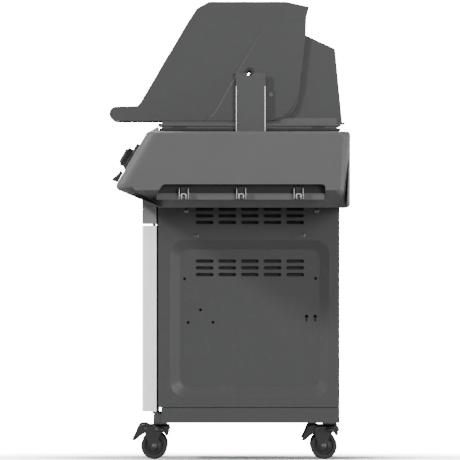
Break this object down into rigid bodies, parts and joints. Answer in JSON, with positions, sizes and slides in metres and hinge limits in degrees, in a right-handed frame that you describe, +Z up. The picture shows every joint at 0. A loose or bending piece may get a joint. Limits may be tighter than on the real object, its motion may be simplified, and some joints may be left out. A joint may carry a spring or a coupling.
{
  "type": "gas barbecue grill",
  "caption": "Gas barbecue grill on a closed cart with a hinged hood, two cabinet doors, side shelves with tool hooks, front knobs and braked casters.",
  "frame": {"origin": "on the floor under the middle of the grill's overall box", "axes": "+Z up, -Y towards the cook and the doors, +X to the right-hand shelf as the cook sees it"},
  "size_m": [1.264, 0.6026, 1.1478],
  "materials": {
    "apron_paint": "satin mid grey powder coat",
    "bezel_plastic": "dark glossy moulding",
    "bracket_paint": "semi-gloss grey paint on pressed steel",
    "bright_fasteners": "bright zinc plate",
    "burner_steel": "plain stainless steel",
    "cart_paint": "satin dark grey powder coat",
    "caster_plastic": "black moulded nylon",
    "caster_tyre": "black rubber tread",
    "dark_fasteners": "black phosphate",
    "firebox_enamel": "black heat-proof enamel",
    "galvanised_tray": "galvanised sheet",
    "gas_tube": "plain aluminium tube",
    "grate_iron": "matt enamelled cast iron",
    "handle_tube": "brushed stainless tube",
    "hook_wire": "nickel-plated wire",
    "knob_plastic": "black moulding with knurled side",
    "lid_paint": "semi-gloss dark grey baked paint with a fine orange peel",
    "opener_cast": "dark plated casting",
    "rack_chrome": "chromed wire",
    "shelf_moulding": "finely grained grey moulding",
    "shelf_paint": "satin grey powder coat",
    "stainless_door": "brushed stainless steel",
    "stem_brass": "machined brass",
    "thermometer_case": "polished ring round a white dial"
  },
  "bodies": {
    "cart": {"base_front_trim": "cart_paint", "base_pan": "cart_paint", "bottle_opener": "opener_cast", "burners": "burner_steel", "cart_back": "cart_paint", "cart_side_left": "cart_paint", "cart_side_right": "cart_paint", "caster_plates": "caster_plastic", "control_panel": "shelf_paint", "cooking_grate_left": "grate_iron", "cooking_grate_right": "grate_iron", "door_hinge_pins": "bright_fasteners", "door_seals": "stainless_door", "firebox": "firebox_enamel", "front_apron": "apron_paint", "heat_tents": "burner_steel", "hinge_ears": "bracket_paint", "hook_rail_left": "hook_wire", "hook_rail_right": "hook_wire", "knob_bezels": "bezel_plastic", "lid_pivot_pins": "bright_fasteners", "manifold": "gas_tube", "panel_screws": "dark_fasteners", "rear_housing": "firebox_enamel", "shelf_end_left": "shelf_moulding", "shelf_end_right": "shelf_moulding", "shelf_left": "shelf_paint", "shelf_right": "shelf_paint", "spit_bracket_left": "bracket_paint", "spit_bracket_right": "bracket_paint", "top_frame": "firebox_enamel", "tray_runners": "galvanised_tray", "valves": "stem_brass", "vent_baffles": "cart_paint", "warming_rack": "rack_chrome"},
    "lid": {"lid_side_right": "lid_paint", "lid_side_left": "lid_paint", "lid_skin": "lid_paint", "lid_handle_bar": "handle_tube", "lid_thermometer": "thermometer_case"},
    "door_r": {"door_right": "stainless_door"},
    "door_l": {"door_left": "stainless_door"},
    "tray": {"grease_tray": "galvanised_tray"},
    "stem_1": {"valve_stem_1": "stem_brass"},
    "knob_1": {"knob_1": "knob_plastic"},
    "stem_2": {"valve_stem_2": "stem_brass"},
    "knob_2": {"knob_2": "knob_plastic"},
    "stem_3": {"valve_stem_3": "stem_brass"},
    "knob_3": {"knob_3": "knob_plastic"},
    "swivel_front_right": {"caster_fork_front_right": "caster_plastic"},
    "wheel_front_right": {"caster_wheel_front_right": "caster_tyre"},
    "pedal_front_right": {"brake_lever_front_right": "caster_plastic"},
    "swivel_front_left": {"caster_fork_front_left": "caster_plastic"},
    "wheel_front_left": {"caster_wheel_front_left": "caster_tyre"},
    "pedal_front_left": {"brake_lever_front_left": "caster_plastic"},
    "swivel_rear_right": {"caster_fork_rear_right": "caster_plastic"},
    "wheel_rear_right": {"caster_wheel_rear_right": "caster_tyre"},
    "pedal_rear_right": {"brake_lever_rear_right": "caster_plastic"},
    "swivel_rear_left": {"caster_fork_rear_left": "caster_plastic"},
    "wheel_rear_left": {"caster_wheel_rear_left": "caster_tyre"},
    "pedal_rear_left": {"brake_lever_rear_left": "caster_plastic"}
  },
  "joints": [
    {"name": "lid_hinge", "type": "hinge", "parent": "cart", "child": "lid", "pos_m": [0, 0.10375, 0.915], "axis": [-1, 0, 0], "range_deg": [0, 78]},
    {"name": "door_right_hinge", "type": "hinge", "parent": "cart", "child": "door_r", "pos_m": [0.331, -0.19, 0.35], "axis": [0, 0, 1], "range_deg": [0, 105]},
    {"name": "door_left_hinge", "type": "hinge", "parent": "cart", "child": "door_l", "pos_m": [-0.331, -0.19, 0.35], "axis": [0, 0, -1], "range_deg": [0, 105]},
    {"name": "grease_tray_slide", "type": "slide", "parent": "cart", "child": "tray", "axis": [0, 1, 0], "range_m": [0, 0.33]},
    {"name": "knob_1_turn", "type": "hinge", "parent": "cart", "child": "stem_1", "pos_m": [-0.205, -0.2466, 0.751], "axis": [0, -0.8693, 0.4943], "range_deg": [0, 130]},
    {"name": "knob_1_push", "type": "slide", "parent": "stem_1", "child": "knob_1", "axis": [0, 0.8693, -0.4943], "range_m": [0, 0.003], "stiffness_N_per_m": 600},
    {"name": "knob_2_turn", "type": "hinge", "parent": "cart", "child": "stem_2", "pos_m": [0, -0.2466, 0.751], "axis": [0, -0.8693, 0.4943], "range_deg": [0, 130]},
    {"name": "knob_2_push", "type": "slide", "parent": "stem_2", "child": "knob_2", "axis": [0, 0.8693, -0.4943], "range_m": [0, 0.003], "stiffness_N_per_m": 600},
    {"name": "knob_3_turn", "type": "hinge", "parent": "cart", "child": "stem_3", "pos_m": [0.205, -0.2466, 0.751], "axis": [0, -0.8693, 0.4943], "range_deg": [0, 130]},
    {"name": "knob_3_push", "type": "slide", "parent": "stem_3", "child": "knob_3", "axis": [0, 0.8693, -0.4943], "range_m": [0, 0.003], "stiffness_N_per_m": 600},
    {"name": "front_right_swivel", "type": "hinge", "parent": "cart", "child": "swivel_front_right", "pos_m": [0.298, -0.174, 0.085], "axis": [0, 0, 1], "continuous": true},
    {"name": "front_right_roll", "type": "hinge", "parent": "swivel_front_right", "child": "wheel_front_right", "pos_m": [0.298, -0.18925, 0.033], "axis": [1, 0, 0], "continuous": true},
    {"name": "front_right_brake", "type": "hinge", "parent": "swivel_front_right", "child": "pedal_front_right", "pos_m": [0.298, -0.208, 0.076], "axis": [-1, 0, 0], "range_deg": [0, 20]},
    {"name": "front_left_swivel", "type": "hinge", "parent": "cart", "child": "swivel_front_left", "pos_m": [-0.298, -0.174, 0.085], "axis": [0, 0, 1], "continuous": true},
    {"name": "front_left_roll", "type": "hinge", "parent": "swivel_front_left", "child": "wheel_front_left", "pos_m": [-0.298, -0.18925, 0.033], "axis": [1, 0, 0], "continuous": true},
    {"name": "front_left_brake", "type": "hinge", "parent": "swivel_front_left", "child": "pedal_front_left", "pos_m": [-0.298, -0.208, 0.076], "axis": [-1, 0, 0], "range_deg": [0, 20]},
    {"name": "rear_right_swivel", "type": "hinge", "parent": "cart", "child": "swivel_rear_right", "pos_m": [0.298, 0.252, 0.085], "axis": [0, 0, 1], "continuous": true},
    {"name": "rear_right_roll", "type": "hinge", "parent": "swivel_rear_right", "child": "wheel_rear_right", "pos_m": [0.298, 0.23675, 0.033], "axis": [1, 0, 0], "continuous": true},
    {"name": "rear_right_brake", "type": "hinge", "parent": "swivel_rear_right", "child": "pedal_rear_right", "pos_m": [0.298, 0.218, 0.076], "axis": [-1, 0, 0], "range_deg": [0, 20]},
    {"name": "rear_left_swivel", "type": "hinge", "parent": "cart", "child": "swivel_rear_left", "pos_m": [-0.298, 0.252, 0.085], "axis": [0, 0, 1], "continuous": true},
    {"name": "rear_left_roll", "type": "hinge", "parent": "swivel_rear_left", "child": "wheel_rear_left", "pos_m": [-0.298, 0.23675, 0.033], "axis": [1, 0, 0], "continuous": true},
    {"name": "rear_left_brake", "type": "hinge", "parent": "swivel_rear_left", "child": "pedal_rear_left", "pos_m": [-0.298, 0.218, 0.076], "axis": [-1, 0, 0], "range_deg": [0, 20]}
  ]
}
